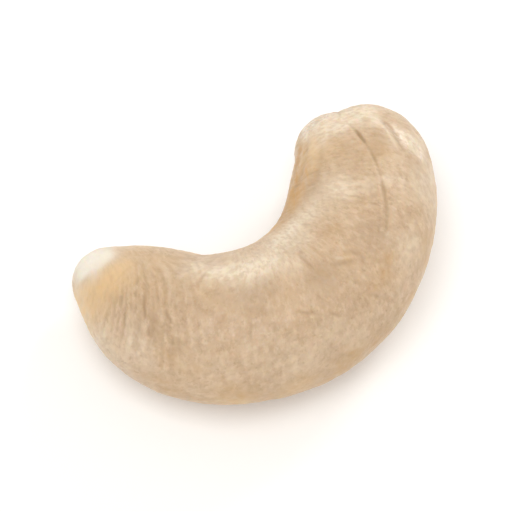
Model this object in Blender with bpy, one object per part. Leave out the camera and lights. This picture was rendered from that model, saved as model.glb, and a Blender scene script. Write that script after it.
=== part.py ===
"""A shelled cashew kernel lying on its side, grown as one piece. Metres, +Z up.

The kernel is a comma: oval sections along a bent centreline, from the narrow tip to the thick blunt end.
Its two seed leaves are pressed together along a seam that turns slowly round the body, and part a little
into two lobes at the thick end. The origin is on the surface that the kernel lies on, under the middle of
its outline. +X runs along its longest extent, towards the thick arm, and the bend is open towards +Y.
"""

import math

import bmesh
import bpy
import numpy as np

NODE = "cashew_kernel"
MM = 0.001

# Driving dimensions
LENGTH = 26.0 * MM
SEAM_DEPTH = 0.25 * MM
SEAM_HALF_WIDTH = 0.22 * MM
LOBE_GAP_DEPTH = 0.28 * MM
LOBE_GAP_HALF_WIDTH = 1.2 * MM
REST_CUT_DEPTH = 0.10 * MM

# How the seam changes along the body: its share of the depth on the thin arm and on the inside of the
# bend, where the thick arm's deep stretch starts and how softly, and the lengths over which it fades out
# towards the tip and the lobes' gap does from the thick end
SEAM_THIN_SHARE = 0.18
SEAM_INSIDE_SHARE = 0.7
SEAM_DEEP_STRETCH = 0.48 * LENGTH
SEAM_DEEP_SOFTNESS = 0.06 * LENGTH
SEAM_TIP_FADE = 0.15 * LENGTH
LOBE_GAP_FADE = 0.24 * LENGTH

# The sections, from the narrow tip to the thick end: x, y and z of the centre, half the width across the
# bend and half the height, as shares of the length, then the seam's angle from the outside of the bend
SECTIONS = (
    (-0.395, 0.262, 0.120, 0.038, 0.043, 14),
    (-0.360, 0.159, 0.134, 0.100, 0.094, 17),
    (-0.319, 0.055, 0.144, 0.160, 0.141, 22),
    (-0.247, -0.075, 0.160, 0.193, 0.170, 30),
    (-0.132, -0.158, 0.179, 0.201, 0.179, 40),
    (0.038, -0.183, 0.181, 0.205, 0.185, 50),
    (0.200, -0.124, 0.185, 0.205, 0.184, 59),
    (0.314, -0.004, 0.182, 0.198, 0.181, 79),
    (0.385, 0.124, 0.163, 0.180, 0.175, 100),
    (0.428, 0.237, 0.160, 0.161, 0.168, 116),
)
TOP_LEAN = 0.10  # the sections are fuller on the outside of the bend

# How far from each end the body starts to close, as shares of the length, and how squarely it does
TIP_CLOSING = 0.045
THICK_CLOSING_INSIDE = 0.113
THICK_CLOSING_OUTSIDE = 0.172
TIP_SQUARENESS = 2.0
THICK_SQUARENESS_INSIDE = 3.4
THICK_SQUARENESS_OUTSIDE = 2.3

# The pale face at the narrow tip: which way it looks, how far out it lies and how flat it is
TIP_FACE_NORMAL = (-0.39, 0.82, 0.42)
TIP_FACE_REACH = 0.361 * LENGTH
TIP_FACE_SOFTNESS = 0.35 * MM
TIP_FACE_KEEPS = 0.55

# Ridges and creases: the path as (share of the centreline, degrees round from the seam), half width and
# height, which is below zero for a crease
LINES = (
    (((0.925, -20), (0.900, -26), (0.870, -29), (0.830, -31)), 0.80 * MM, -0.18 * MM),
    (((0.230, 75), (0.377, 63), (0.505, 54), (0.650, 45), (0.765, 36)), 1.10 * MM, 0.14 * MM),
    (((0.945, 40), (0.860, 61), (0.780, 68), (0.700, 79)), 0.65 * MM, -0.15 * MM),
    (((0.930, 78), (0.850, 91), (0.770, 97), (0.680, 104)), 0.65 * MM, -0.15 * MM),
    (((0.880, -150), (0.800, -140), (0.720, -128)), 0.80 * MM, -0.16 * MM),
    (((0.440, -70), (0.400, -92), (0.370, -114)), 0.80 * MM, -0.14 * MM),
)

# Broad shallow dents: centre as (share of the centreline, degrees round), half width and depth
DENTS = (
    ((0.835, 19), 2.2 * MM, 0.16 * MM),
    ((0.640, -10), 2.4 * MM, 0.12 * MM),
    ((0.450, 30), 3.0 * MM, 0.10 * MM),
    ((0.300, -10), 2.6 * MM, 0.10 * MM),
    ((0.700, -90), 3.4 * MM, 0.18 * MM),
    ((0.330, -120), 3.0 * MM, 0.16 * MM),
    ((0.560, 150), 2.6 * MM, 0.14 * MM),
)

# Slow waves over the whole body: times along it, times round it, phase along, phase round, height. They
# fade where the body is thinner than the radius below
FULL_WAVE_RADIUS = 0.11 * LENGTH
WAVES = (
    (1.3, 2, 0.6, 0.4, 0.07 * MM),
    (2.6, 3, 1.9, 2.2, 0.05 * MM),
    (4.1, 2, 4.0, 1.1, 0.04 * MM),
)

# The centreline's direction is read over this share of it, the rest spots are cut within this distance,
# and edges are shaded sharp from this angle
DIRECTION_STEP = 1e-4
CUT_TOLERANCE = 1e-7
SHARP_DEGREES = 60

# Mesh density: rings in each stretch, points round a ring, and how much closer these lie at the seam
TIP_RINGS = 8
BODY_RINGS = 46
THICK_RINGS = 12
POINTS_ROUND = 56
SEAM_GRIP = 0.25


def clear_scene():
    """Remove every object that the file starts with."""
    for obj in list(bpy.data.objects):
        bpy.data.objects.remove(obj, do_unlink=True)


def section_table():
    """The sections in metres with the seam's angle in radians, and each one's distance along the centreline."""
    table = np.array(SECTIONS)
    table[:, :5] *= LENGTH
    table[:, 5] = np.radians(table[:, 5])
    steps = np.linalg.norm(np.diff(table[:, :2], axis=0), axis=1)
    return table, np.concatenate([[0.0], np.cumsum(steps)])


def smooth_curve(knots, values, at):
    """A natural cubic spline through the values at the knots."""
    count = len(knots)
    gaps = np.diff(knots)
    slopes = np.diff(values) / gaps
    system = np.zeros((count, count))
    system[0, 0] = system[-1, -1] = 1.0
    target = np.zeros(count)
    for i in range(1, count - 1):
        system[i, i - 1 : i + 2] = gaps[i - 1], 2 * (gaps[i - 1] + gaps[i]), gaps[i]
        target[i] = 6 * (slopes[i] - slopes[i - 1])
    bends = np.linalg.solve(system, target)
    span = np.clip(np.searchsorted(knots, at) - 1, 0, count - 2)
    gap = gaps[span]
    after = at - knots[span]
    before = knots[span + 1] - at
    cubic = (bends[span] * before**3 + bends[span + 1] * after**3) / (6 * gap)
    left = (values[span] / gap - bends[span] * gap / 6) * before
    right = (values[span + 1] / gap - bends[span + 1] * gap / 6) * after
    return cubic + left + right


def closing(distance, reach, squareness):
    """How open the body is this far from an end: 0 at the end, 1 once past its reach."""
    share = 1 - np.clip(distance / reach, 0, 1)
    return (1 - share**squareness) ** (1 / squareness)


def smooth_surface(along, angle):
    """Points of the form without relief, at shares of the centreline and angles round from the seam.

    Also gives each point's mean radius.
    """
    along, angle = np.broadcast_arrays(np.asarray(along, float), np.asarray(angle, float))
    table, knots = section_table()
    whole = knots[-1]
    at = along.ravel() * whole
    centre = np.stack([smooth_curve(knots, table[:, i], at) for i in range(3)], axis=1)
    step = DIRECTION_STEP * whole
    ahead = np.clip(at + step, 0, whole)
    behind = np.clip(at - step, 0, whole)
    forward = np.stack(
        [
            smooth_curve(knots, table[:, i], ahead) - smooth_curve(knots, table[:, i], behind)
            for i in range(3)
        ],
        axis=1,
    )
    forward /= np.linalg.norm(forward, axis=1)[:, None]
    outside = np.cross(forward, (0.0, 0.0, 1.0))
    outside /= np.linalg.norm(outside, axis=1)[:, None]
    upward = np.cross(outside, forward)

    turn = smooth_curve(knots, table[:, 5], at) + angle.ravel()
    share_outside = 0.5 + 0.5 * np.cos(turn)
    reach = THICK_CLOSING_INSIDE + (THICK_CLOSING_OUTSIDE - THICK_CLOSING_INSIDE) * share_outside
    squareness = (
        THICK_SQUARENESS_INSIDE
        + (THICK_SQUARENESS_OUTSIDE - THICK_SQUARENESS_INSIDE) * share_outside
    )
    opening = closing(at, TIP_CLOSING * LENGTH, TIP_SQUARENESS)
    opening = opening * closing(whole - at, reach * LENGTH, squareness)
    half_width = smooth_curve(knots, table[:, 3], at) * opening
    half_height = smooth_curve(knots, table[:, 4], at) * opening
    across = half_width * np.cos(turn)
    height = half_height * np.sin(turn) * (1 + TOP_LEAN * np.cos(turn))
    points = centre + across[:, None] * outside + height[:, None] * upward
    radius = np.sqrt(half_width * half_height)
    return points.reshape(along.shape + (3,)), radius.reshape(along.shape)


def ring_places():
    """Shares of the centreline that carry a ring, closer together where the ends round off."""
    whole = section_table()[1][-1]
    tip_reach = TIP_CLOSING * LENGTH / whole
    thick_reach = THICK_CLOSING_INSIDE * LENGTH / whole
    tip = tip_reach * (1 - np.cos(np.linspace(0, math.pi / 2, TIP_RINGS + 1)[1:]))
    thick = 1 - thick_reach * (1 - np.cos(np.linspace(0, math.pi / 2, THICK_RINGS + 1)[1:]))
    body = np.linspace(tip_reach, 1 - thick_reach, BODY_RINGS)[1:-1]
    return np.concatenate([tip, body, thick[::-1]])


def round_places():
    """Angles round a ring from the seam, closer together at the seam's two sides of the body."""
    even = np.arange(POINTS_ROUND) * 2 * math.pi / POINTS_ROUND
    return even - SEAM_GRIP * np.sin(2 * even)


def distance_to_path(points, path):
    """Each point's distance to a path of places on the surface, and how far along the path it is nearest."""
    places = np.array(path, float)
    line, _ = smooth_surface(places[:, 0], np.radians(places[:, 1]))
    lengths = np.linalg.norm(np.diff(line, axis=0), axis=1)
    before = np.concatenate([[0.0], np.cumsum(lengths)])
    best = np.full(len(points), np.inf)
    share = np.zeros(len(points))
    for i in range(len(lengths)):
        direction = (line[i + 1] - line[i]) / lengths[i]
        run = np.clip((points - line[i]) @ direction, 0, lengths[i])
        gap = np.linalg.norm(points - line[i] - run[:, None] * direction, axis=1)
        nearer = gap < best
        best = np.where(nearer, gap, best)
        share = np.where(nearer, (before[i] + run) / before[-1], share)
    return best, share


def seam_relief(along, angle, radius):
    """The seam's narrow groove, deepest on the thick arm, and the broad gap between the two lobes."""
    whole = section_table()[1][-1]
    from_thick_end = (1 - along) * whole
    from_tip = along * whole
    across = radius * np.sin(angle)
    deep = 1 / (1 + np.exp((from_thick_end - SEAM_DEEP_STRETCH) / SEAM_DEEP_SOFTNESS))
    depth = SEAM_DEPTH * (SEAM_THIN_SHARE + (1 - SEAM_THIN_SHARE) * deep)
    depth = depth * np.clip(from_tip / SEAM_TIP_FADE, 0, 1)
    depth = np.where(np.cos(angle) > 0, depth, SEAM_INSIDE_SHARE * depth)
    groove = depth * np.exp(-((across / SEAM_HALF_WIDTH) ** 2))
    near_end = np.exp(-((from_thick_end / LOBE_GAP_FADE) ** 2))
    gap = LOBE_GAP_DEPTH * near_end * np.exp(-((across / LOBE_GAP_HALF_WIDTH) ** 2))
    return -groove - gap


def relief(points, along, angle, radius):
    """How far each point of the smooth form moves out along its normal."""
    out = seam_relief(along, angle, radius)
    for path, half_width, height in LINES:
        gap, share = distance_to_path(points, path)
        fade = np.sqrt(np.sin(math.pi * share))
        out = out + height * fade * np.exp(-((gap / half_width) ** 2))
    for (share, degrees), half_width, depth in DENTS:
        middle, _ = smooth_surface(share, math.radians(degrees))
        gap = np.linalg.norm(points - middle, axis=1)
        out = out - depth * np.exp(-((gap / half_width) ** 2))
    body = np.clip(radius / FULL_WAVE_RADIUS, 0, 1)
    for times_along, times_round, phase_along, phase_round, height in WAVES:
        wave = np.sin(2 * math.pi * times_along * along + phase_along)
        out = out + height * body * wave * np.cos(times_round * angle + phase_round)
    return out


def kernel_faces(rings):
    """Quads between neighbouring rings and a fan of triangles over each end, facing out."""
    faces = []
    for i in range(rings - 1):
        for j in range(POINTS_ROUND):
            k = (j + 1) % POINTS_ROUND
            here = i * POINTS_ROUND
            there = here + POINTS_ROUND
            faces.append((here + k, here + j, there + j, there + k))
    tip = rings * POINTS_ROUND
    thick = tip + 1
    last = tip - POINTS_ROUND
    for j in range(POINTS_ROUND):
        k = (j + 1) % POINTS_ROUND
        faces.append((tip, j, k))
        faces.append((thick, last + k, last + j))
    return faces


def flatten_tip_face(bm):
    """Press the narrow tip back towards a plane, with a soft edge round the face."""
    normal = np.array(TIP_FACE_NORMAL)
    normal /= np.linalg.norm(normal)
    for vert in bm.verts:
        beyond = float(np.dot(normal, vert.co)) - TIP_FACE_REACH
        soft = 0.5 * (beyond + math.hypot(beyond, TIP_FACE_SOFTNESS))
        for axis in range(3):
            vert.co[axis] -= normal[axis] * soft * (1 - TIP_FACE_KEEPS)


def set_length(bm):
    """Scale the body so that its longest extent is the stated length."""
    xs = [vert.co.x for vert in bm.verts]
    factor = LENGTH / (max(xs) - min(xs))
    bmesh.ops.scale(bm, vec=(factor, factor, factor), verts=bm.verts)


def cut_rest_spots(bm):
    """Flatten the lowest points of the underside, which the kernel rests on."""
    level = min(vert.co.z for vert in bm.verts) + REST_CUT_DEPTH
    parts = bm.verts[:] + bm.edges[:] + bm.faces[:]
    bmesh.ops.bisect_plane(
        bm,
        geom=parts,
        dist=CUT_TOLERANCE,
        plane_co=(0, 0, level),
        plane_no=(0, 0, -1),
        clear_outer=True,
    )
    rim = [edge for edge in bm.edges if edge.is_boundary]
    bmesh.ops.edgenet_fill(bm, edges=rim)
    for vert in bm.verts:
        vert.co.z -= level


def centre_outline(bm):
    """Bring the middle of the outline over the origin."""
    for axis in (0, 1):
        places = [vert.co[axis] for vert in bm.verts]
        middle = (min(places) + max(places)) / 2
        for vert in bm.verts:
            vert.co[axis] -= middle


def kernel_mesh():
    """The closed body with its relief."""
    along = ring_places()
    angle = round_places()
    points, radius = smooth_surface(along[:, None], angle[None, :])
    ends, _ = smooth_surface(np.array([0.0, 1.0]), 0.0)
    points = np.concatenate([points.reshape(-1, 3), ends])
    radius = np.concatenate([radius.ravel(), [0.0, 0.0]])
    shares = np.concatenate([np.repeat(along, POINTS_ROUND), [0.0, 1.0]])
    angles = np.concatenate([np.tile(angle, len(along)), [0.0, 0.0]])

    mesh = bpy.data.meshes.new(NODE)
    mesh.from_pydata(points.tolist(), [], kernel_faces(len(along)))
    bm = bmesh.new()
    bm.from_mesh(mesh)
    bm.normal_update()
    for vert, out in zip(bm.verts, relief(points, shares, angles, radius)):
        vert.co += vert.normal * float(out)
    flatten_tip_face(bm)
    set_length(bm)
    cut_rest_spots(bm)
    centre_outline(bm)
    bm.normal_update()
    bm.to_mesh(mesh)
    bm.free()
    mesh.shade_smooth()
    mesh.set_sharp_from_angle(angle=math.radians(SHARP_DEGREES))
    return mesh


def kernel_material():
    """Cream beige, with a dull wax-like gloss."""
    material = bpy.data.materials.new("kernel")
    material.use_nodes = True
    shader = material.node_tree.nodes["Principled BSDF"]
    shader.inputs["Base Color"].default_value = (0.64, 0.46, 0.30, 1.0)
    shader.inputs["Roughness"].default_value = 0.5
    shader.inputs["Metallic"].default_value = 0.0
    return material


def cashew_kernel():
    """The whole kernel, the only piece."""
    mesh = kernel_mesh()
    mesh.materials.append(kernel_material())
    kernel = bpy.data.objects.new(NODE, mesh)
    bpy.context.scene.collection.objects.link(kernel)
    return kernel


clear_scene()
cashew_kernel()
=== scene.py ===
"""The looks of a shelled cashew kernel: a fine skin in place of the solid, its light and its camera."""

import math
import random

import bpy
import numpy as np
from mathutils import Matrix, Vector, noise


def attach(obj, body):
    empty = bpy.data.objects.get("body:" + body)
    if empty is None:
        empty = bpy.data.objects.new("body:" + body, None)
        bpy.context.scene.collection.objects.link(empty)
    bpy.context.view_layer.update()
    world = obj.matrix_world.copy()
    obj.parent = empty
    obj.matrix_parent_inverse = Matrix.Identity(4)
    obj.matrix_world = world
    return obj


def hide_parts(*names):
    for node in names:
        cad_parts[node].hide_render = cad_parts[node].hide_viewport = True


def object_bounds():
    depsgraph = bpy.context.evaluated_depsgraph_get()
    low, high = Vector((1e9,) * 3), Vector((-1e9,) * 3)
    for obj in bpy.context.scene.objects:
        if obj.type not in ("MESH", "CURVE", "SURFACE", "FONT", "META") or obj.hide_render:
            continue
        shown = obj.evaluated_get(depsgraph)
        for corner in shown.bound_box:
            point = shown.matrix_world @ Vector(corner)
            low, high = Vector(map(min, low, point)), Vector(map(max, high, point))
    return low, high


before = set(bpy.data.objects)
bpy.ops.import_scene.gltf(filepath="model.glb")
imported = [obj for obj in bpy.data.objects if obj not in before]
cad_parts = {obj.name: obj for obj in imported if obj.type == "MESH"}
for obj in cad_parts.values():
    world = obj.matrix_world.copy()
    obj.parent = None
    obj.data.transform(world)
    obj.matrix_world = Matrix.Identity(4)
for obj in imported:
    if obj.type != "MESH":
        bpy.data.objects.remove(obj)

CAD_LOW, CAD_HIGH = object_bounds()
NODE = "cashew_kernel"
MM = 0.001
LENGTH = CAD_HIGH.x - CAD_LOW.x

# The form of the solid, as its own source gives it. The sections, from the narrow tip to the thick end:
# x, y and z of the centre, half the width across the bend and half the height, as shares of the length,
# then the seam's angle from the outside of the bend
SECTIONS = (
    (-0.395, 0.262, 0.120, 0.038, 0.043, 14),
    (-0.360, 0.159, 0.134, 0.100, 0.094, 17),
    (-0.319, 0.055, 0.144, 0.160, 0.141, 22),
    (-0.247, -0.075, 0.160, 0.193, 0.170, 30),
    (-0.132, -0.158, 0.179, 0.201, 0.179, 40),
    (0.038, -0.183, 0.181, 0.205, 0.185, 50),
    (0.200, -0.124, 0.185, 0.205, 0.184, 59),
    (0.314, -0.004, 0.182, 0.198, 0.181, 79),
    (0.385, 0.124, 0.163, 0.180, 0.175, 100),
    (0.428, 0.237, 0.160, 0.161, 0.168, 116),
)
TOP_LEAN = 0.10  # the sections are fuller on the outside of the bend

# How far from each end the body starts to close, as shares of the length, and how squarely it does
TIP_CLOSING = 0.045
THICK_CLOSING_INSIDE = 0.113
THICK_CLOSING_OUTSIDE = 0.172
TIP_SQUARENESS = 2.0
THICK_SQUARENESS_INSIDE = 3.4
THICK_SQUARENESS_OUTSIDE = 2.3

# The pale face at the narrow tip: which way it looks, how far out it lies and how flat it is
TIP_FACE_NORMAL = (-0.39, 0.82, 0.42)
TIP_FACE_REACH = 0.361 * LENGTH
TIP_FACE_SOFTNESS = 0.35 * MM
TIP_FACE_KEEPS = 0.55

# How deep the flat spots that the solid rests on are cut
REST_CUT_DEPTH = 0.10 * MM

# The gap between the two lobes, which fades away from the thick end
LOBE_GAP_DEPTH = 0.28 * MM
LOBE_GAP_HALF_WIDTH = 1.2 * MM
LOBE_GAP_FADE = 0.24 * LENGTH

# Ridges and creases: the path as (share of the centreline, degrees round from the seam), half width and
# height, which is below zero for a crease
LINES = (
    (((0.925, -20), (0.900, -26), (0.870, -29), (0.830, -31)), 0.80 * MM, -0.18 * MM),
    (((0.230, 75), (0.377, 63), (0.505, 54), (0.650, 45), (0.765, 36)), 1.10 * MM, 0.14 * MM),
    (((0.945, 40), (0.860, 61), (0.780, 68), (0.700, 79)), 0.65 * MM, -0.15 * MM),
    (((0.930, 78), (0.850, 91), (0.770, 97), (0.680, 104)), 0.65 * MM, -0.15 * MM),
    (((0.880, -150), (0.800, -140), (0.720, -128)), 0.80 * MM, -0.16 * MM),
    (((0.440, -70), (0.400, -92), (0.370, -114)), 0.80 * MM, -0.14 * MM),
)

# Broad shallow dents: centre as (share of the centreline, degrees round), half width and depth
DENTS = (
    ((0.835, 19), 2.2 * MM, 0.16 * MM),
    ((0.640, -10), 2.4 * MM, 0.12 * MM),
    ((0.450, 30), 3.0 * MM, 0.10 * MM),
    ((0.300, -10), 2.6 * MM, 0.10 * MM),
    ((0.700, -90), 3.4 * MM, 0.18 * MM),
    ((0.330, -120), 3.0 * MM, 0.16 * MM),
    ((0.560, 150), 2.6 * MM, 0.14 * MM),
)

# Slow waves over the whole body: times along it, times round it, phase along, phase round, height. They
# fade where the body is thinner than the radius below
FULL_WAVE_RADIUS = 0.11 * LENGTH
WAVES = (
    (1.3, 2, 0.6, 0.4, 0.07 * MM),
    (2.6, 3, 1.9, 2.2, 0.05 * MM),
    (4.1, 2, 4.0, 1.1, 0.04 * MM),
)

# The centreline's direction is read over this share of it
DIRECTION_STEP = 1e-4

# The skin's mesh: rings in each stretch, points round a ring, and how much closer these lie at the seam.
# The normal at an end point leads away from the middle of the ring that is this many rings in
TIP_RINGS = 30
BODY_RINGS = 300
THICK_RINGS = 56
POINTS_ROUND = 250
SEAM_GRIP = 0.25
NORMAL_RING = 2

# The seam as the skin shows it: a fine line with a low lip on each side
SEAM_DEPTH = 0.105 * MM
SEAM_HALF_WIDTH = 0.15 * MM
SEAM_LIP_HEIGHT = 0.025 * MM
SEAM_LIP_PLACE = 0.38 * MM
SEAM_LIP_HALF_WIDTH = 0.17 * MM

# How clear the seam is: all of it shows in the clear stretch, which ends past the thick end. The shares
# are what is left of it outside that stretch, in a short faint one, and on the inside of the bend
SEAM_CLEAR_STRETCH = (0.705, 1.1)
SEAM_THIN_SHARE = 0.05
SEAM_FAINT_STRETCH = (0.925, 0.945)
SEAM_FAINT_SHARE = 0.30
SEAM_INSIDE_SHARE = 0.7
SEAM_FADE = 0.03

# How unevenly it runs: the unevenness's size along it, its middle, swing and limits, and how near to the
# seam it is worked out, as the sine of the angle from it
SEAM_UNEVEN_SIZE = 1.6 * MM
SEAM_UNEVEN_MIDDLE = 0.85
SEAM_UNEVEN_SWING = 1.2
SEAM_UNEVEN_LIMITS = (0.45, 1.3)
SEAM_NEARNESS = 0.25

# Fine creases and ridges seen on the kernel, given as in LINES
FINE_LINES = (
    (((0.613, 26), (0.626, 21), (0.629, 13), (0.619, 6)), 0.26 * MM, -0.048 * MM),
    (((0.578, 29), (0.600, 21), (0.617, 15)), 0.24 * MM, -0.042 * MM),
    (((0.596, 28), (0.610, 21), (0.622, 16)), 0.13 * MM, 0.030 * MM),
    (((0.756, 39), (0.751, 26), (0.764, 10)), 0.15 * MM, 0.045 * MM),
    (((0.738, 39), (0.736, 28), (0.745, 14)), 0.14 * MM, 0.035 * MM),
    (((0.724, 37), (0.722, 27), (0.728, 19)), 0.13 * MM, 0.025 * MM),
    (((0.770, 34), (0.768, 24)), 0.13 * MM, 0.030 * MM),
    (((0.525, 5), (0.531, 0), (0.540, -6)), 0.15 * MM, -0.045 * MM),
    (((0.187, 67), (0.200, 56)), 0.13 * MM, -0.050 * MM),
    (((0.205, 52), (0.215, 45)), 0.13 * MM, -0.055 * MM),
    (((0.186, 43), (0.200, 34)), 0.13 * MM, -0.040 * MM),
    (((0.226, 50), (0.242, 40), (0.255, 30)), 0.13 * MM, -0.055 * MM),
    (((0.261, 28), (0.268, 17)), 0.13 * MM, -0.050 * MM),
    (((0.282, 42), (0.298, 31)), 0.13 * MM, -0.060 * MM),
    (((0.302, 20), (0.308, 14)), 0.14 * MM, -0.045 * MM),
    (((0.915, -20), (0.890, -24), (0.862, -25), (0.832, -25)), 0.18 * MM, 0.060 * MM),
    (((0.915, -27), (0.885, -31), (0.860, -31), (0.835, -31)), 0.16 * MM, -0.042 * MM),
    (((0.945, 32), (0.880, 47), (0.820, 61), (0.740, 83)), 0.22 * MM, -0.026 * MM),
    (((0.925, 50), (0.870, 66), (0.800, 80), (0.640, 104)), 0.22 * MM, -0.028 * MM),
    (((0.915, 26), (0.880, 32), (0.820, 41), (0.730, 57)), 0.22 * MM, -0.026 * MM),
    (((0.900, 72), (0.850, 87), (0.790, 97), (0.740, 101)), 0.20 * MM, -0.026 * MM),
    (((0.940, 40), (0.885, 55), (0.815, 70)), 0.18 * MM, 0.030 * MM),
    (((0.925, 57), (0.860, 75), (0.790, 88)), 0.18 * MM, 0.028 * MM),
)

# How far lines that cross the body lean towards the narrow tip on the body's inner side, as a share of
# the centreline: this much up to the first place, less from there, and not at all past the second
LEAN = 0.23
LEAN_LESSENS = (0.20, 0.40)

# Striations across the thin arm: the stretch and the degrees round that carry them, how softly both end,
# the size of the noise along the body and in its two directions across, their depth, and the share of
# it under which they are left out
STRIATION_STRETCH = (0.19, 0.31)
STRIATION_STRETCH_FADE = 0.05
STRIATION_SIDE = (5, 80)
STRIATION_SIDE_FADE = 25
STRIATION_SIZES = (0.22 * MM, 3.6 * MM, 3.6 * MM)
STRIATION_DEPTH = 0.040 * MM
STRIATION_FAINTEST = 0.01

# Seeded short creases over the whole skin: the stretch that they start in and the one that they keep to,
# the spread of their slant in radians, how far they may bow, and the points on each
CREASE_SEED = 7
CREASE_COUNT = 130
CREASE_STRETCH = (0.12, 0.95)
CREASE_LIMITS = (0.02, 0.98)
CREASE_SLANT = 0.35
CREASE_BOW = 0.15
CREASE_POINTS = 4
CREASE_LENGTH = (0.6 * MM, 2.2 * MM)
CREASE_HALF_WIDTH = (0.08 * MM, 0.14 * MM)
CREASE_DEPTH = (0.010 * MM, 0.034 * MM)

# Uneven relief by noise: size along the body, size across it, height. Each layer's noise is moved on
# from the one before by the shift, in its own sizes
NOISE_LAYERS = (
    (2.2 * MM, 2.2 * MM, 0.050 * MM),
    (0.80 * MM, 0.80 * MM, 0.028 * MM),
    (0.34 * MM, 0.70 * MM, 0.013 * MM),
    (0.32 * MM, 0.32 * MM, 0.020 * MM),
)
NOISE_SHIFT = 11.7

# Relief this deep is tinted as a full hollow, darker with partly painted shade, and as high as a full
# ridge, paler with a painted highlight. The noise counts for less
HOLLOW_DEPTH = 0.055 * MM
HOLLOW_NOISE_SHARE = 0.4

# Tinted spots: centre as (share of the centreline, degrees round), half width and strength
# Honey-yellow: the tip's own yellow, and in the spots along the lower rim partly painted warm light at
# the rim
HONEY_SPOTS = (
    ((0.140, 72), 1.2 * MM, 0.50),
    ((0.195, 92), 1.3 * MM, 0.30),
    ((0.168, 60), 1.3 * MM, 0.25),
    ((0.138, 48), 1.4 * MM, 0.60),
    ((0.132, 25), 1.5 * MM, 0.55),
    ((0.105, 12), 1.3 * MM, 0.60),
    ((0.135, -6), 1.3 * MM, 0.35),
    ((0.890, 38), 0.9 * MM, 0.35),
    ((0.838, 34), 1.0 * MM, 0.30),
    ((0.860, 46), 1.0 * MM, 0.40),
    ((0.812, 52), 1.0 * MM, 0.25),
    ((0.085, -12), 1.3 * MM, 0.60),
    ((0.075, -50), 1.4 * MM, 0.50),
    ((0.100, -100), 1.4 * MM, 0.50),
    ((0.110, 120), 1.4 * MM, 0.50),
    ((0.130, -35), 1.4 * MM, 0.40),
    ((0.380, -52), 1.3 * MM, 0.45),
    ((0.450, -52), 1.3 * MM, 0.45),
    ((0.650, -66), 1.5 * MM, 0.30),
    ((0.720, -70), 1.5 * MM, 0.30),
    ((0.790, -72), 1.5 * MM, 0.25),
)
# Amber spots: partly ochre patches of the flesh, and partly painted shade along the lower rim by the
# floor and inside the bend where neighbouring kernels shade it
AMBER_AND_SHADE_SPOTS = (
    ((0.607, -9), 0.5 * MM, 0.45),
    ((0.632, -11), 0.6 * MM, 0.60),
    ((0.655, -8), 0.5 * MM, 0.55),
    ((0.612, 21), 0.55 * MM, 0.55),
    ((0.640, 40), 0.7 * MM, 0.35),
    ((0.303, 4), 0.8 * MM, 0.45),
    ((0.330, -8), 0.9 * MM, 0.30),
    ((0.305, -38), 1.2 * MM, 0.55),
    ((0.390, -43), 1.3 * MM, 0.65),
    ((0.470, -48), 1.3 * MM, 0.65),
    ((0.530, -54), 1.3 * MM, 0.75),
    ((0.580, -54), 1.3 * MM, 0.75),
    ((0.640, -58), 1.3 * MM, 0.60),
    ((0.285, -24), 1.2 * MM, 0.30),
    ((0.370, -30), 1.2 * MM, 0.45),
    ((0.535, -46), 1.3 * MM, 0.45),
    ((0.710, -54), 1.5 * MM, 0.85),
    ((0.700, 92), 1.2 * MM, 0.60),
    ((0.360, -50), 1.3 * MM, 0.50),
    ((0.420, -62), 1.5 * MM, 0.60),
    ((0.500, -70), 1.5 * MM, 0.60),
    ((0.600, -72), 1.5 * MM, 0.60),
    ((0.250, 62), 1.5 * MM, 0.22),
    ((0.340, 60), 1.2 * MM, 0.20),
    ((0.534, 17), 1.3 * MM, 0.20),
    ((0.575, 30), 1.2 * MM, 0.15),
    ((0.469, 27), 1.3 * MM, 0.30),
    ((0.390, 35), 1.3 * MM, 0.20),
    ((0.828, -8), 1.1 * MM, 0.55),
    ((0.830, 19), 1.3 * MM, 0.20),
    ((0.420, -110), 1.8 * MM, 0.40),
    ((0.750, -100), 1.6 * MM, 0.35),
    ((0.560, 160), 1.5 * MM, 0.40),
)
# Painted shade: darker spots where the flesh lies in shade, such as the shadow of neighbouring kernels
# inside the bend and the lower rim near the floor
PAINTED_SHADE_SPOTS = (
    ((0.552, 25), 1.4 * MM, 0.60),
    ((0.445, 46), 1.3 * MM, 0.40),
    ((0.400, 44), 1.4 * MM, 0.35),
    ((0.300, 58), 1.2 * MM, 0.30),
    ((0.175, 82), 1.3 * MM, 0.35),
    ((0.430, -50), 1.5 * MM, 0.40),
    ((0.500, -58), 1.5 * MM, 0.30),
    ((0.705, -52), 1.2 * MM, 0.40),
    ((0.680, 6), 1.4 * MM, 0.35),
    ((0.760, 55), 1.2 * MM, 0.35),
    ((0.845, -12), 1.0 * MM, 0.40),
    ((0.695, 92), 1.4 * MM, 0.55),
)
# Streaks inside the bend: partly the flesh's own streaks, and partly painted shadow and warm bounced
# light from neighbouring kernels
STREAK_AND_SHADE_SPOTS = (
    ((0.690, 91), 1.5 * MM, 0.85),
    ((0.740, 86), 1.2 * MM, 0.65),
    ((0.775, 70), 1.2 * MM, 0.80),
    ((0.820, 62), 1.1 * MM, 0.85),
    ((0.865, 58), 1.0 * MM, 0.75),
    ((0.910, 52), 0.8 * MM, 0.65),
    ((0.790, 98), 1.7 * MM, 0.50),
    ((0.860, 88), 1.5 * MM, 0.50),
    ((0.640, 112), 2.0 * MM, 0.60),
    ((0.540, 135), 2.2 * MM, 0.45),
)
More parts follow.
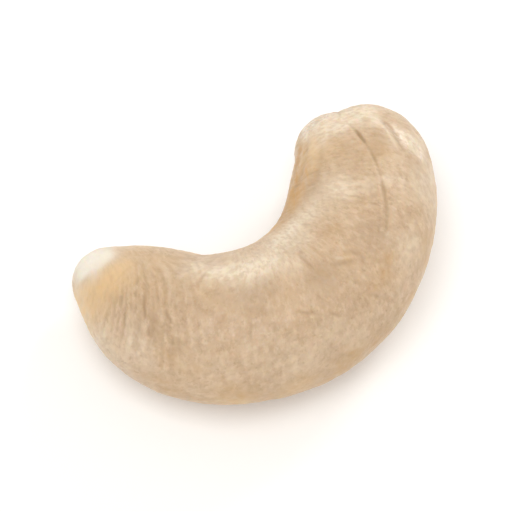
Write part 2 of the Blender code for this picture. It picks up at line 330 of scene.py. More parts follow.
# Paler spots: partly lighter flesh, and partly painted highlights, such as the glint streak on the outer
# lobe, the lit shoulder of the inner lobe, the bright band along the inside edge, the lit rims and the
# bright wrinkles
LIGHT_TONE_AND_HIGHLIGHT_SPOTS = (
    ((0.955, -5), 1.2 * MM, 0.40),
    ((0.930, -25), 1.0 * MM, 0.40),
    ((0.105, -5), 1.1 * MM, 0.35),
    ((0.150, -24), 1.3 * MM, 0.45),
    ((0.185, -12), 1.3 * MM, 0.45),
    ((0.265, 8), 1.0 * MM, 0.25),
    ((0.250, 4), 1.1 * MM, 0.30),
    ((0.240, 20), 1.1 * MM, 0.30),
    ((0.330, 8), 1.6 * MM, 0.15),
    ((0.440, -2), 1.8 * MM, 0.22),
    ((0.520, -14), 1.8 * MM, 0.18),
    ((0.300, 88), 1.1 * MM, 0.45),
    ((0.345, 78), 1.1 * MM, 0.50),
    ((0.384, 72), 1.1 * MM, 0.80),
    ((0.425, 66), 1.2 * MM, 0.85),
    ((0.469, 62), 1.1 * MM, 0.65),
    ((0.505, 66), 1.1 * MM, 0.50),
    ((0.525, 48), 0.8 * MM, 0.45),
    ((0.578, 58), 1.0 * MM, 0.35),
    ((0.677, 55), 1.0 * MM, 0.35),
    ((0.550, 76), 1.1 * MM, 0.60),
    ((0.600, 78), 1.2 * MM, 0.65),
    ((0.645, 68), 1.0 * MM, 0.35),
    ((0.745, 41), 1.1 * MM, 0.45),
    ((0.958, 34), 0.9 * MM, 1.00),
    ((0.938, 38), 0.7 * MM, 0.80),
    ((0.940, 14), 0.8 * MM, 1.00),
    ((0.922, 3), 0.6 * MM, 0.90),
    ((0.936, -9), 0.9 * MM, 0.70),
    ((0.905, 27), 0.7 * MM, 0.80),
    ((0.920, 16), 0.8 * MM, 0.45),
    ((0.874, 36), 0.9 * MM, 0.85),
    ((0.905, 10), 0.6 * MM, 0.60),
    ((0.700, 60), 1.0 * MM, 0.30),
    ((0.880, -33), 0.50 * MM, 1.00),
    ((0.866, -37), 0.50 * MM, 1.00),
    ((0.853, -41), 0.50 * MM, 1.00),
    ((0.842, -47), 0.45 * MM, 0.95),
    ((0.872, -44), 0.40 * MM, 0.80),
    ((0.856, -51), 0.40 * MM, 0.80),
    ((0.900, -22), 0.40 * MM, 0.60),
    ((0.745, 30), 0.8 * MM, 0.55),
    ((0.757, 12), 0.6 * MM, 0.50),
    ((0.772, -3), 0.4 * MM, 0.70),
    ((0.790, -32), 1.2 * MM, 0.42),
    ((0.785, -46), 1.1 * MM, 0.50),
    ((0.690, -22), 1.2 * MM, 0.30),
    ((0.690, -26), 1.3 * MM, 0.25),
    ((0.945, -20), 0.9 * MM, 0.80),
    ((0.880, -55), 0.9 * MM, 0.55),
    ((0.820, -60), 1.1 * MM, 0.55),
)

# Spots where the skin is glossier, given in the same way
GLOSS_SPOTS = (
    ((0.886, -31), 0.8 * MM, 1.00),
    ((0.866, -36), 0.8 * MM, 1.00),
    ((0.846, -45), 0.8 * MM, 1.00),
    ((0.950, 30), 1.2 * MM, 0.80),
    ((0.935, 10), 0.9 * MM, 0.60),
    ((0.425, 74), 1.4 * MM, 0.50),
    ((0.500, 58), 1.4 * MM, 0.45),
    ((0.560, 46), 1.2 * MM, 0.35),
)

# The masks that the spots make, by the names that the material reads
SPOT_MASKS = {
    "amber_and_shade": AMBER_AND_SHADE_SPOTS,
    "painted_shade": PAINTED_SHADE_SPOTS,
    "streak_and_shade": STREAK_AND_SHADE_SPOTS,
    "light_tone_and_highlight": LIGHT_TONE_AND_HIGHLIGHT_SPOTS,
    "gloss": GLOSS_SPOTS,
    "honey": HONEY_SPOTS,
}

# The white at the narrow tip, partly its own pale colour and partly a painted highlight on the tip's
# face: spots as centre and reach, how softly its edge ends, how far and over what length the edge
# wanders, and where the white is left out, in softnesses past the reach
PALE_SPOTS = (
    ((0.050, 68), 1.95 * MM),
    ((0.000, 0), 1.65 * MM),
)
PALE_SOFTNESS = 0.32 * MM
PALE_WANDER = 0.50 * MM
PALE_WANDER_SIZE = 1.2 * MM
PALE_FARTHEST = 10

# Linear colours
FLESH = (0.607, 0.433, 0.278, 1.0)
FLESH_LIGHT = (0.737, 0.565, 0.390, 1.0)
FLESH_TAN = (0.430, 0.275, 0.155, 1.0)
# Honey-yellow of the tip, also used as painted warm light on the lower rim
HONEY = (0.810, 0.565, 0.300, 1.0)
# Amber: ochre of the flesh, also used for painted shade
AMBER_AND_SHADE = (0.560, 0.345, 0.150, 1.0)
# A cream for lighter flesh and for painted highlights
LIGHT_TONE_AND_HIGHLIGHT = (0.900, 0.785, 0.620, 1.0)
# A brown for painted shade
PAINTED_SHADE = (0.450, 0.315, 0.205, 1.0)
# Orange-brown of the streaks, which also carries painted shadow
STREAK_AND_SHADE = (0.620, 0.360, 0.135, 1.0)
# White of the tip, partly its own and partly a painted highlight
PALE_AND_HIGHLIGHT = (0.930, 0.860, 0.730, 1.0)
# Brown of the seam: partly its own line and partly painted shade in the groove
SEAM_BROWN_AND_SHADE = (0.390, 0.240, 0.105, 1.0)
SHEEN_CREAM = (1.0, 0.80, 0.55, 1.0)
FLOOR_WHITE = (0.88, 0.88, 0.88, 1.0)
FLOOR_GLOW_WHITE = (1.0, 1.0, 1.0, 1.0)
LIGHT_WHITE = (1.0, 0.985, 0.96)

# A grain is noise turned into a share: its size along the body and across it, detail, roughness, the
# part of the noise's range that counts, and the shares at the two ends of that part. The flesh is
# mottled by these colours in turn
MOTTLING = (
    (FLESH_LIGHT, ((3.20 * MM, 3.20 * MM), 2.0, 0.55, (0.35, 0.65), (0.00, 0.42))),
    (FLESH_TAN, ((0.42 * MM, 0.60 * MM), 4.0, 0.65, (0.44, 0.72), (0.00, 0.54))),
    (FLESH_LIGHT, ((0.24 * MM, 0.55 * MM), 3.0, 0.60, (0.47, 0.70), (0.00, 0.74))),
    (FLESH_TAN, ((0.22 * MM, 0.34 * MM), 2.0, 0.60, (0.57, 0.76), (0.00, 0.58))),
)

# Grains that break up a mask
AMBER_AND_SHADE_GRAIN = ((0.50 * MM, 0.80 * MM), 3.0, 0.55, (0.35, 0.65), (0.45, 1.00))
STREAK_GRAIN = ((2.60 * MM, 0.34 * MM), 3.0, 0.55, (0.36, 0.62), (0.40, 1.00))
# The grain that breaks up the lighter flesh and the painted highlights
LIGHT_TONE_AND_HIGHLIGHT_GRAIN = ((0.30 * MM, 0.42 * MM), 3.0, 0.55, (0.40, 0.60), (0.45, 0.88))
HONEY_GRAIN = ((0.80 * MM, 1.20 * MM), 3.0, 0.55, (0.35, 0.65), (0.60, 1.00))

# Shares of the tint in a full hollow, partly painted shade, on a full ridge, a painted highlight, and in
# the seam, which is tinted from this depth on and is partly painted shade in its groove
HOLLOW_TAN_AND_SHADE = 0.75
RIDGE_HIGHLIGHT = 0.40
SEAM_TINT = 0.60
SEAM_TINT_FROM = 0.10

# The flesh's surface: its roughness as a grain, what share of that is left where it is glossy, the light
# that passes under the skin, the sheen, and the finest bumps, whose noise is given as sizes, detail and
# roughness
ROUGHNESS_GRAIN = ((0.70 * MM, 0.90 * MM), 4.0, 0.55, (0.35, 0.65), (0.34, 0.54))
GLOSS_ROUGHNESS = 0.45
SPECULAR = 0.5
SUBSURFACE_WEIGHT = 0.5
SUBSURFACE_RADIUS = (1.0, 0.55, 0.25)
SUBSURFACE_SCALE = 0.35 * MM
SHEEN_WEIGHT = 0.24
SHEEN_ROUGHNESS = 0.30
BUMP_DISTANCE = 0.03 * MM
BUMP_NOISE = ((0.14 * MM, 0.22 * MM), 3.0, 0.60)

# The floor reaches this far each way, and glows a little so that it stays white
FLOOR_HALF = 3.0
FLOOR_ROUGHNESS = 0.6
FLOOR_SPECULAR = 0.2
FLOOR_GLOW = 0.16

# The camera looks down on the kernel from its outer side, as the photograph does; azimuths here are
# degrees from +Y towards +X
CAMERA_AZIMUTH = -150.7
CAMERA_ELEVATION = 62.0
CAMERA_DISTANCE = 0.45
FRAME_WIDTH = 33.84 * MM
SENSOR_WIDTH = 36.0
LOOK_AT = (-0.96 * MM, 1.46 * MM, 4.93 * MM)
CAMERA_CLIP = (0.01, 10.0)

WORLD_STRENGTH = 0.62

# Area lights: name, azimuth, elevation, distance, size and power. The key is large and soft and stands
# over the kernel, and the glint is smaller and behind it, for the gloss
LIGHTS = (
    ("key", -130, 76, 0.45, 0.26, 0.90),
    ("glint", 66, 30, 0.45, 0.12, 0.42),
)


def section_table():
    """The sections in metres and radians, and how far along the centreline each one is."""
    table = np.array(SECTIONS)
    table[:, :5] *= LENGTH
    table[:, 5] = np.radians(table[:, 5])
    steps = np.linalg.norm(np.diff(table[:, :2], axis=0), axis=1)
    return table, np.concatenate([[0.0], np.cumsum(steps)])


def smooth_curve(knots, values, at):
    """A natural cubic spline through the values at the knots."""
    count = len(knots)
    gaps = np.diff(knots)
    slopes = np.diff(values) / gaps
    system = np.zeros((count, count))
    system[0, 0] = system[-1, -1] = 1.0
    target = np.zeros(count)
    for i in range(1, count - 1):
        system[i, i - 1 : i + 2] = gaps[i - 1], 2 * (gaps[i - 1] + gaps[i]), gaps[i]
        target[i] = 6 * (slopes[i] - slopes[i - 1])
    bends = np.linalg.solve(system, target)
    span = np.clip(np.searchsorted(knots, at) - 1, 0, count - 2)
    gap = gaps[span]
    after = at - knots[span]
    before = knots[span + 1] - at
    cubic = (bends[span] * before**3 + bends[span + 1] * after**3) / (6 * gap)
    left = (values[span] / gap - bends[span] * gap / 6) * before
    right = (values[span + 1] / gap - bends[span + 1] * gap / 6) * after
    return cubic + left + right


def closing(distance, reach, squareness):
    """How open the body is this far from an end: 0 at the end, 1 once past its reach."""
    share = 1 - np.clip(distance / reach, 0, 1)
    return (1 - share**squareness) ** (1 / squareness)


def smooth_surface(along, angle):
    """Points of the form without relief, and each point's mean radius."""
    along, angle = np.broadcast_arrays(np.asarray(along, float), np.asarray(angle, float))
    table, knots = section_table()
    whole = knots[-1]
    at = along.ravel() * whole
    centre = np.stack([smooth_curve(knots, table[:, i], at) for i in range(3)], axis=1)
    step = DIRECTION_STEP * whole
    ahead = np.clip(at + step, 0, whole)
    behind = np.clip(at - step, 0, whole)
    forward = np.stack(
        [
            smooth_curve(knots, table[:, i], ahead) - smooth_curve(knots, table[:, i], behind)
            for i in range(3)
        ],
        axis=1,
    )
    forward /= np.linalg.norm(forward, axis=1)[:, None]
    outside = np.cross(forward, (0.0, 0.0, 1.0))
    outside /= np.linalg.norm(outside, axis=1)[:, None]
    upward = np.cross(outside, forward)

    turn = smooth_curve(knots, table[:, 5], at) + angle.ravel()
    share_outside = 0.5 + 0.5 * np.cos(turn)
    reach = THICK_CLOSING_INSIDE + (THICK_CLOSING_OUTSIDE - THICK_CLOSING_INSIDE) * share_outside
    squareness = (
        THICK_SQUARENESS_INSIDE
        + (THICK_SQUARENESS_OUTSIDE - THICK_SQUARENESS_INSIDE) * share_outside
    )
    opening = closing(at, TIP_CLOSING * LENGTH, TIP_SQUARENESS)
    opening = opening * closing(whole - at, reach * LENGTH, squareness)
    half_width = smooth_curve(knots, table[:, 3], at) * opening
    half_height = smooth_curve(knots, table[:, 4], at) * opening
    across = half_width * np.cos(turn)
    height = half_height * np.sin(turn) * (1 + TOP_LEAN * np.cos(turn))
    points = centre + across[:, None] * outside + height[:, None] * upward
    radius = np.sqrt(half_width * half_height)
    return points.reshape(along.shape + (3,)), radius.reshape(along.shape)


def ring_places():
    """Shares of the centreline that carry a ring, closer together where the ends round off."""
    whole = section_table()[1][-1]
    tip_reach = TIP_CLOSING * LENGTH / whole
    thick_reach = THICK_CLOSING_INSIDE * LENGTH / whole
    tip = tip_reach * (1 - np.cos(np.linspace(0, math.pi / 2, TIP_RINGS + 1)[1:]))
    thick = 1 - thick_reach * (1 - np.cos(np.linspace(0, math.pi / 2, THICK_RINGS + 1)[1:]))
    body = np.linspace(tip_reach, 1 - thick_reach, BODY_RINGS)[1:-1]
    return np.concatenate([tip, body, thick[::-1]])


def round_places():
    """Angles round a ring from the seam, closer together at the seam's two sides of the body."""
    even = np.arange(POINTS_ROUND) * 2 * math.pi / POINTS_ROUND
    return even - SEAM_GRIP * np.sin(2 * even)


def distance_to_line(points, line):
    """Each point's distance to a line through some points, and how far along it is nearest."""
    lengths = np.linalg.norm(np.diff(line, axis=0), axis=1)
    before = np.concatenate([[0.0], np.cumsum(lengths)])
    best = np.full(len(points), np.inf)
    share = np.zeros(len(points))
    for i in range(len(lengths)):
        direction = (line[i + 1] - line[i]) / lengths[i]
        run = np.clip((points - line[i]) @ direction, 0, lengths[i])
        gap = np.linalg.norm(points - line[i] - run[:, None] * direction, axis=1)
        nearer = gap < best
        best = np.where(nearer, gap, best)
        share = np.where(nearer, (before[i] + run) / before[-1], share)
    return best, share


def surface_line(path):
    """The points on the smooth form that a path of places names."""
    places = np.array(path, float)
    return smooth_surface(places[:, 0], np.radians(places[:, 1]))[0]


def lines_relief(points, lines):
    """Ridges and creases along paths, fading at both ends."""
    out = np.zeros(len(points))
    for path, half_width, height in lines:
        gap, share = distance_to_line(points, surface_line(path))
        fade = np.sqrt(np.sin(math.pi * share))
        out += height * fade * np.exp(-((gap / half_width) ** 2))
    return out


def noise_at(coordinates):
    """Blender's noise at each row of coordinates, about -1 to 1."""
    return np.array([noise.noise(Vector(row)) for row in coordinates.tolist()])


def window(values, low, high, softness):
    """1 between low and high, falling to 0 outside over the softness."""
    rise = np.clip((values - low) / softness + 1, 0, 1)
    fall = np.clip((high - values) / softness + 1, 0, 1)
    both = np.minimum(rise, fall)
    return both * both * (3 - 2 * both)


def seam_strength(points, along, angle):
    """How clear the seam is along the body, uneven as it goes, and weaker on the inside of the bend."""
    clear = window(along, *SEAM_CLEAR_STRETCH, SEAM_FADE)
    faint = window(along, *SEAM_FAINT_STRETCH, SEAM_FADE) * (np.cos(angle) > 0)
    strength = SEAM_THIN_SHARE + (1 - SEAM_THIN_SHARE) * clear
    strength = strength * (1 - (1 - SEAM_FAINT_SHARE) * faint)
    near = np.flatnonzero(np.abs(np.sin(angle)) < SEAM_NEARNESS)
    swing = SEAM_UNEVEN_SWING * noise_at(points[near] / SEAM_UNEVEN_SIZE)
    uneven = np.ones(len(points))
    uneven[near] = np.clip(SEAM_UNEVEN_MIDDLE + swing, *SEAM_UNEVEN_LIMITS)
    return uneven * np.where(np.cos(angle) > 0, strength, SEAM_INSIDE_SHARE * strength)


def broad_relief(points, along, angle, radius):
    """The relief that the solid has too: the gap between the lobes, lines, dents and slow waves."""
    from_thick_end = (1 - along) * section_table()[1][-1]
    across = radius * np.sin(angle)
    near_end = np.exp(-((from_thick_end / LOBE_GAP_FADE) ** 2))
    out = -LOBE_GAP_DEPTH * near_end * np.exp(-((across / LOBE_GAP_HALF_WIDTH) ** 2))
    out = out + lines_relief(points, LINES)
    for (share, degrees), half_width, depth in DENTS:
        middle, _ = smooth_surface(share, math.radians(degrees))
        gap = np.linalg.norm(points - middle, axis=1)
        out = out - depth * np.exp(-((gap / half_width) ** 2))
    body = np.clip(radius / FULL_WAVE_RADIUS, 0, 1)
    for times_along, times_round, phase_along, phase_round, height in WAVES:
        wave = np.sin(2 * math.pi * times_along * along + phase_along)
        out = out + height * body * wave * np.cos(times_round * angle + phase_round)
    return out


def seam_relief(points, along, angle, radius):
    """The seam's fine groove and its two lips."""
    across = np.abs(radius * np.sin(angle))
    strength = seam_strength(points, along, angle)
    groove = SEAM_DEPTH * np.exp(-((across / SEAM_HALF_WIDTH) ** 2))
    lip = SEAM_LIP_HEIGHT * np.exp(-(((across - SEAM_LIP_PLACE) / SEAM_LIP_HALF_WIDTH) ** 2))
    return strength * (lip - groove)


def leaning_run(along, angle):
    """Metres along the body, measured so that the lines which cross it keep one value."""
    start, end = LEAN_LESSENS
    lean = LEAN * np.clip((end - along) / (end - start), 0, 1)
    return (along + lean * (1 - np.cos(angle)) / 2) * section_table()[1][-1]


def straight_places(along, angle, radius):
    """Each point's place on the body as if it were straight."""
    return np.stack([leaning_run(along, angle), radius * np.cos(angle), radius * np.sin(angle)], axis=1)


def striations(along, angle, straight):
    """Fine uneven grooves across the thin arm's top."""
    degrees = np.degrees(np.arctan2(np.sin(angle), np.cos(angle)))
    mask = window(along, *STRIATION_STRETCH, STRIATION_STRETCH_FADE)
    mask = mask * window(degrees, *STRIATION_SIDE, STRIATION_SIDE_FADE)
    chosen = np.flatnonzero(mask > STRIATION_FAINTEST)
    out = np.zeros(len(along))
    out[chosen] = STRIATION_DEPTH * mask[chosen] * noise_at(straight[chosen] / np.array(STRIATION_SIZES))
    return out


def short_creases(points):
    """Seeded short creases, most of them across the body."""
    draw = random.Random(CREASE_SEED)
    whole = section_table()[1][-1]
    out = np.zeros(len(points))
    for _ in range(CREASE_COUNT):
        share = draw.uniform(*CREASE_STRETCH)
        angle = draw.uniform(-math.pi, math.pi)
        slant = draw.gauss(0.0, CREASE_SLANT)
        length = draw.uniform(*CREASE_LENGTH)
        half_width = draw.uniform(*CREASE_HALF_WIDTH)
        depth = draw.uniform(*CREASE_DEPTH)
        bow = draw.uniform(-CREASE_BOW, CREASE_BOW)
        _, radius = smooth_surface(share, angle)
        steps = np.linspace(-0.5, 0.5, CREASE_POINTS)
        shares = share + (np.sin(slant) * steps + bow * steps**2) * length / whole
        angles = angle + np.cos(slant) * steps * length / max(float(radius), MM)
        line, _ = smooth_surface(np.clip(shares, *CREASE_LIMITS), angles)
        near = np.flatnonzero(np.linalg.norm(points - line.mean(axis=0), axis=1) < length)
        if len(near) == 0:
            continue
        gap, along_line = distance_to_line(points[near], line)
        fade = np.sin(math.pi * along_line)
        out[near] -= depth * fade * np.exp(-((gap / half_width) ** 2))
    return out


def noise_relief(points, straight):
    """Uneven skin at several sizes. The layer that is longer across the body wrinkles it faintly."""
    out = np.zeros(len(points))
    for number, (size_along, size_across, height) in enumerate(NOISE_LAYERS):
        places = points if size_along == size_across else straight
        sizes = np.array((size_along, size_across, size_across))
        out += height * noise_at(places / sizes + NOISE_SHIFT * number)
    return out


def grid_normals(grid):
    """Outward normals of a grid of rings by points round."""
    ahead = np.gradient(grid, axis=0)
    sideways = np.roll(grid, -1, axis=1) - np.roll(grid, 1, axis=1)
    normals = np.cross(ahead, sideways)
    return normals / np.linalg.norm(normals, axis=2)[..., None]


def all_normals(points, rings):
    """Normals of the grid's points, then of the two end points."""
    grid = points[:-2].reshape(rings, POINTS_ROUND, 3)
    normals = grid_normals(grid).reshape(-1, 3)
    tip = points[-2] - grid[NORMAL_RING].mean(axis=0)
    thick = points[-1] - grid[-1 - NORMAL_RING].mean(axis=0)
    ends = np.stack([tip, thick])
    ends /= np.linalg.norm(ends, axis=1)[:, None]
    return np.concatenate([normals, ends])


def flatten_tip_face(points):
    """Press the narrow tip back towards a plane, with a soft edge round the face."""
    normal = np.array(TIP_FACE_NORMAL)
    normal /= np.linalg.norm(normal)
    beyond = points @ normal - TIP_FACE_REACH
    soft = 0.5 * (beyond + np.hypot(beyond, TIP_FACE_SOFTNESS))
    return points - (soft * (1 - TIP_FACE_KEEPS))[:, None] * normal


def place_like_solid(points):
    """Scale, lower and centre the skin as the solid is."""
    points = points * (LENGTH / np.ptp(points[:, 0]))
    points[:, 2] -= points[:, 2].min() + REST_CUT_DEPTH
    for axis in (0, 1):
        points[:, axis] -= (points[:, axis].min() + points[:, axis].max()) / 2
    return points


def skin_faces(rings):
    """Quads between neighbouring rings and a fan of triangles over each end, facing out."""
    faces = []
    for i in range(rings - 1):
        for j in range(POINTS_ROUND):
            k = (j + 1) % POINTS_ROUND
            here = i * POINTS_ROUND
            there = here + POINTS_ROUND
            faces.append((here + k, here + j, there + j, there + k))
    tip = rings * POINTS_ROUND
    thick = tip + 1
    last = tip - POINTS_ROUND
    for j in range(POINTS_ROUND):
        k = (j + 1) % POINTS_ROUND
        faces.append((tip, j, k))
        faces.append((thick, last + k, last + j))
    return faces


def spots_mask(points, spots):
    """Soft round spots, added together."""
    out = np.zeros(len(points))
    for (share, degrees), half_width, strength in spots:
        middle, _ = smooth_surface(share, math.radians(degrees))
        gap = np.linalg.norm(points - middle, axis=1)
        out += strength * np.exp(-((gap / half_width) ** 2))
    return np.clip(out, 0, 1)


def pale_and_highlight_mask(points):
    """Where the narrow tip is white, partly its own colour and partly a painted highlight, with a
    wandering edge.
    """
    beyond = np.full(len(points), np.inf)
    for (share, degrees), reach in PALE_SPOTS:
        middle, _ = smooth_surface(share, math.radians(degrees))
        beyond = np.minimum(beyond, np.linalg.norm(points - middle, axis=1) - reach)
    chosen = np.flatnonzero(beyond < PALE_FARTHEST * PALE_SOFTNESS)
    edge = PALE_WANDER * noise_at(points[chosen] / PALE_WANDER_SIZE)
    out = np.zeros(len(points))
    out[chosen] = 1 / (1 + np.exp((beyond[chosen] - edge) / PALE_SOFTNESS))
    return out


def write_mask(mesh, name, values):
    """Store one number a point for the material to read."""
    layer = mesh.attributes.new(name, "FLOAT", "POINT")
    layer.data.foreach_set("value", values.astype(np.float32))


def kernel_skin():
    """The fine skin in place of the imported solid, with the masks that its material reads."""
    along = ring_places()
    angle = round_places()
    rings = len(along)
    grid, radius = smooth_surface(along[:, None], angle[None, :])
    ends, _ = smooth_surface(np.array([0.0, 1.0]), 0.0)
    smooth = np.concatenate([grid.reshape(-1, 3), ends])
    radius = np.concatenate([radius.ravel(), [0.0, 0.0]])
    shares = np.concatenate([np.repeat(along, POINTS_ROUND), [0.0, 1.0]])
    angles = np.concatenate([np.tile(angle, rings), [0.0, 0.0]])

    normals = all_normals(smooth, rings)
    broad = broad_relief(smooth, shares, angles, radius)
    points = flatten_tip_face(smooth + normals * broad[:, None])
    points = place_like_solid(points)

    seam = seam_relief(smooth, shares, angles, radius)
    creases = lines_relief(smooth, FINE_LINES) + short_creases(smooth)
    straight = straight_places(shares, angles, radius)
    stripes = striations(shares, angles, straight)
    uneven = noise_relief(smooth, straight)
    fine = seam + creases + stripes + uneven
    points = points + all_normals(points, rings) * fine[:, None]
    points[:, 2] = np.maximum(points[:, 2], 0.0)

    mesh = bpy.data.meshes.new("kernel_skin")
    mesh.from_pydata(points.tolist(), [], skin_faces(rings))
    mesh.shade_smooth()
    for name, spots in SPOT_MASKS.items():
        write_mask(mesh, name, spots_mask(smooth, spots))
    write_mask(mesh, "pale_and_highlight", pale_and_highlight_mask(smooth))
    # Depth of the relief, which the material turns into darker hollows, partly painted shade, and paler
    # ridges, a painted highlight
    hollow = -(creases + stripes + HOLLOW_NOISE_SHARE * uneven) / HOLLOW_DEPTH
    write_mask(mesh, "hollow", np.clip(hollow, -1, 1))
    write_mask(mesh, "seam", np.clip(-seam / SEAM_DEPTH, 0, 1))
    lie = mesh.attributes.new("lie", "FLOAT_VECTOR", "POINT")
    lie.data.foreach_set("vector", straight.astype(np.float32).ravel())
    skin = bpy.data.objects.new("kernel_skin", mesh)
    bpy.context.scene.collection.objects.link(skin)
    return skin


class Nodes:
    """Short calls for building a material's nodes."""

    def __init__(self, name):
        self.material = bpy.data.materials.new(name)
        self.material.use_nodes = True
        self.tree = self.material.node_tree
        self.shader = self.tree.nodes["Principled BSDF"].inputs

    def add(self, kind, **settings):
        """A node of a kind, with its settings."""
        node = self.tree.nodes.new(kind)
        for name, value in settings.items():
            setattr(node, name, value)
        return node

    def join(self, source, target):
        """Link an output to an input."""
        self.tree.links.new(source, target)

    def mask(self, name):
        """A number that the mesh stores at each point."""
        return self.add("ShaderNodeAttribute", attribute_name=name).outputs["Fac"]

    def noise(self, sizes, detail, roughness):
        """Noise with features of these sizes in metres, along the body and across it."""
        lie = self.add("ShaderNodeAttribute", attribute_name="lie").outputs["Vector"]
        mapping = self.add("ShaderNodeMapping")
        mapping.inputs["Scale"].default_value = (1 / sizes[0], 1 / sizes[1], 1 / sizes[1])
        self.join(lie, mapping.inputs["Vector"])
        node = self.add("ShaderNodeTexNoise")
        node.inputs["Scale"].default_value = 1.0
        node.inputs["Detail"].default_value = detail
        node.inputs["Roughness"].default_value = roughness
        self.join(mapping.outputs["Vector"], node.inputs["Vector"])
        return node.outputs["Fac"]

    def span(self, value, low, high, to_low, to_high):
        """A value moved from one range to another, and held inside it."""
        node = self.add("ShaderNodeMapRange")
        self.join(value, node.inputs["Value"])
        node.inputs["From Min"].default_value = low
        node.inputs["From Max"].default_value = high
        node.inputs["To Min"].default_value = to_low
        node.inputs["To Max"].default_value = to_high
        return node.outputs["Result"]

    def grain(self, sizes, detail, roughness, noise_range, shares):
        """A share that follows the noise."""
        return self.span(self.noise(sizes, detail, roughness), *noise_range, *shares)

    def broken(self, name, grain):
        """A mask broken up by a grain."""
        return self.times(self.mask(name), self.grain(*grain))

    def times(self, first, second):
        """The product of two values."""
        node = self.add("ShaderNodeMath", operation="MULTIPLY")
        self.join(first, node.inputs[0])
        self.join(second, node.inputs[1])
        return node.outputs["Value"]

    def tint(self, colour, towards, share):
        """A colour, given or linked, mixed with another one by a linked share."""
        node = self.add("ShaderNodeMix", data_type="RGBA")
        first, second = (socket for socket in node.inputs if socket.type == "RGBA")
        self.join(share, node.inputs["Factor"])
        second.default_value = towards
        if isinstance(colour, tuple):
            first.default_value = colour
        else:
            self.join(colour, first)
        return next(socket for socket in node.outputs if socket.type == "RGBA")


def kernel_material():
    """Cream-beige seed flesh: mottled, a little see-through, with a dull waxy gloss, and painted
    highlights and shade in its colour.
    """
    nodes = Nodes("kernel_flesh")
    colour = FLESH
    for towards, grain in MOTTLING:
        colour = nodes.tint(colour, towards, nodes.grain(*grain))
    # Painted shade
    colour = nodes.tint(colour, PAINTED_SHADE, nodes.mask("painted_shade"))
    # Amber: ochre patches and painted shade
    colour = nodes.tint(colour, AMBER_AND_SHADE, nodes.broken("amber_and_shade", AMBER_AND_SHADE_GRAIN))
    # Streaks inside the bend, partly painted shadow
    colour = nodes.tint(colour, STREAK_AND_SHADE, nodes.broken("streak_and_shade", STREAK_GRAIN))
    # Paler spots: lighter flesh and painted highlights
    colour = nodes.tint(colour, LIGHT_TONE_AND_HIGHLIGHT, nodes.broken("light_tone_and_highlight", LIGHT_TONE_AND_HIGHLIGHT_GRAIN))
    hollow = nodes.mask("hollow")
    # Hollows darker, partly the brown that creases hold and partly painted shade, and ridges paler as a
    # painted highlight
    colour = nodes.tint(colour, FLESH_TAN, nodes.span(hollow, 0.0, 1.0, 0.0, HOLLOW_TAN_AND_SHADE))
    colour = nodes.tint(colour, LIGHT_TONE_AND_HIGHLIGHT, nodes.span(hollow, 0.0, -1.0, 0.0, RIDGE_HIGHLIGHT))
    # Honey-yellow, partly painted warm light on the lower rim
    colour = nodes.tint(colour, HONEY, nodes.broken("honey", HONEY_GRAIN))
    # White tip, partly a painted highlight
    colour = nodes.tint(colour, PALE_AND_HIGHLIGHT, nodes.mask("pale_and_highlight"))
    # The seam's groove browner: partly its own line, partly painted shade
    in_seam = nodes.span(nodes.mask("seam"), SEAM_TINT_FROM, 1.0, 0.0, SEAM_TINT)
    colour = nodes.tint(colour, SEAM_BROWN_AND_SHADE, in_seam)
    nodes.join(colour, nodes.shader["Base Color"])

    waxy = nodes.span(nodes.mask("gloss"), 0.0, 1.0, 1.0, GLOSS_ROUGHNESS)
    roughness = nodes.times(nodes.grain(*ROUGHNESS_GRAIN), waxy)
    nodes.join(roughness, nodes.shader["Roughness"])
    nodes.shader["Specular IOR Level"].default_value = SPECULAR
    nodes.shader["Subsurface Weight"].default_value = SUBSURFACE_WEIGHT
    nodes.shader["Subsurface Radius"].default_value = SUBSURFACE_RADIUS
    nodes.shader["Subsurface Scale"].default_value = SUBSURFACE_SCALE
    nodes.shader["Sheen Weight"].default_value = SHEEN_WEIGHT
    nodes.shader["Sheen Roughness"].default_value = SHEEN_ROUGHNESS
    nodes.shader["Sheen Tint"].default_value = SHEEN_CREAM

    bump = nodes.add("ShaderNodeBump")
    bump.inputs["Strength"].default_value = 1.0
    bump.inputs["Distance"].default_value = BUMP_DISTANCE
    nodes.join(nodes.noise(*BUMP_NOISE), bump.inputs["Height"])
    nodes.join(bump.outputs["Normal"], nodes.shader["Normal"])
    return nodes.material


def dress_kernel():
    """Put the skin with its material in place of the solid."""
    skin = kernel_skin()
    skin.data.materials.append(kernel_material())
    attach(skin, "root")
    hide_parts(NODE)


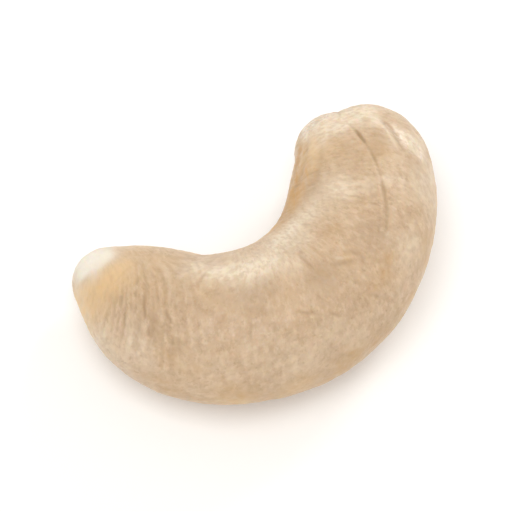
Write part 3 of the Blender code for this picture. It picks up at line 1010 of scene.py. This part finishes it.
def floor():
    """A plain white floor."""
    mesh = bpy.data.meshes.new("floor")
    corners = [(x * FLOOR_HALF, y * FLOOR_HALF, 0) for x, y in ((-1, -1), (1, -1), (1, 1), (-1, 1))]
    mesh.from_pydata(corners, [], [(0, 1, 2, 3)])
    nodes = Nodes("floor_white")
    nodes.shader["Base Color"].default_value = FLOOR_WHITE
    nodes.shader["Roughness"].default_value = FLOOR_ROUGHNESS
    nodes.shader["Specular IOR Level"].default_value = FLOOR_SPECULAR
    nodes.shader["Emission Color"].default_value = FLOOR_GLOW_WHITE
    nodes.shader["Emission Strength"].default_value = FLOOR_GLOW
    mesh.materials.append(nodes.material)
    obj = bpy.data.objects.new("floor", mesh)
    bpy.context.scene.collection.objects.link(obj)


def direction(azimuth, elevation):
    """The unit vector from the kernel towards a place this many degrees from +Y to +X, and up."""
    flat = math.cos(math.radians(elevation))
    turn = math.radians(azimuth)
    return Vector((math.sin(turn) * flat, math.cos(turn) * flat, math.sin(math.radians(elevation))))


def place(name, data, offset):
    """Put a camera or a light this far from the kernel, looking at it."""
    obj = bpy.data.objects.new(name, data)
    obj.location = Vector(LOOK_AT) + offset
    obj.rotation_mode = "QUATERNION"
    obj.rotation_quaternion = (-offset).to_track_quat("-Z", "Y")
    bpy.context.scene.collection.objects.link(obj)
    return obj


def lights():
    """White surroundings, and the area lights."""
    world = bpy.data.worlds.new("world")
    bpy.context.scene.world = world
    world.use_nodes = True
    background = world.node_tree.nodes["Background"]
    background.inputs["Color"].default_value = (*LIGHT_WHITE, 1.0)
    background.inputs["Strength"].default_value = WORLD_STRENGTH
    for name, azimuth, elevation, distance, size, power in LIGHTS:
        data = bpy.data.lights.new(name, "AREA")
        data.shape = "SQUARE"
        data.size = size
        data.energy = power
        data.color = LIGHT_WHITE
        place(name, data, direction(azimuth, elevation) * distance)


def camera():
    """The photograph's viewing angle, closer in on the one kernel."""
    data = bpy.data.cameras.new("camera")
    data.sensor_width = SENSOR_WIDTH
    data.lens = SENSOR_WIDTH * CAMERA_DISTANCE / FRAME_WIDTH
    data.clip_start, data.clip_end = CAMERA_CLIP
    offset = direction(CAMERA_AZIMUTH, CAMERA_ELEVATION) * CAMERA_DISTANCE
    bpy.context.scene.camera = place("camera", data, offset)


camera()
floor()
lights()
dress_kernel()
bpy.context.scene.view_settings.view_transform = "Standard"
